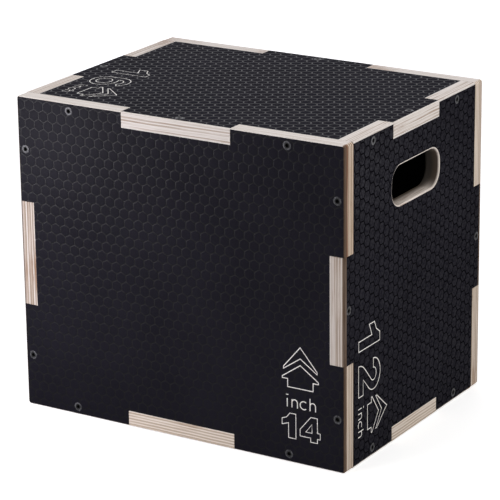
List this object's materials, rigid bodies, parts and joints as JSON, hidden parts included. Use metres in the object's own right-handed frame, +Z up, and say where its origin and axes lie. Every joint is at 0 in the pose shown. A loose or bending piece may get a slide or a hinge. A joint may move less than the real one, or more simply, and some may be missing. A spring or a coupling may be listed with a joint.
{
  "type": "plyo box",
  "caption": "Plywood plyo box with black hexagon-grip film, finger-jointed screwed edges and a handle slot in each end; stands on any face to give another step height.",
  "frame": {"origin": "centre of the underside, on the floor", "axes": "+Z up, +X along the longest side, towards the end panel seen in the picture; the front with the 14 inch mark faces -Y"},
  "size_m": [0.4064, 0.3048, 0.3556],
  "materials": {
    "birch_ply": "bare sanded plywood, layers showing on cut edges",
    "grip_film": "black phenolic film with a raised hexagon grip, satin",
    "inner_film": "smooth dark phenolic film, satin",
    "black_screw": "black oxide, satin"
  },
  "bodies": {
    "root": {"front_panel": "birch_ply", "front_grip_film": "grip_film", "front_inner_film": "inner_film", "front_screws": "black_screw", "back_panel": "birch_ply", "back_grip_film": "grip_film", "back_inner_film": "inner_film", "back_screws": "black_screw", "right_panel": "birch_ply", "right_grip_film": "grip_film", "right_inner_film": "inner_film", "right_screws": "black_screw", "left_panel": "birch_ply", "left_grip_film": "grip_film", "left_inner_film": "inner_film", "left_screws": "black_screw", "top_panel": "birch_ply", "top_grip_film": "grip_film", "top_inner_film": "inner_film", "top_screws": "black_screw", "bottom_panel": "birch_ply", "bottom_grip_film": "grip_film", "bottom_inner_film": "inner_film", "bottom_screws": "black_screw"}
  },
  "joints": []
}
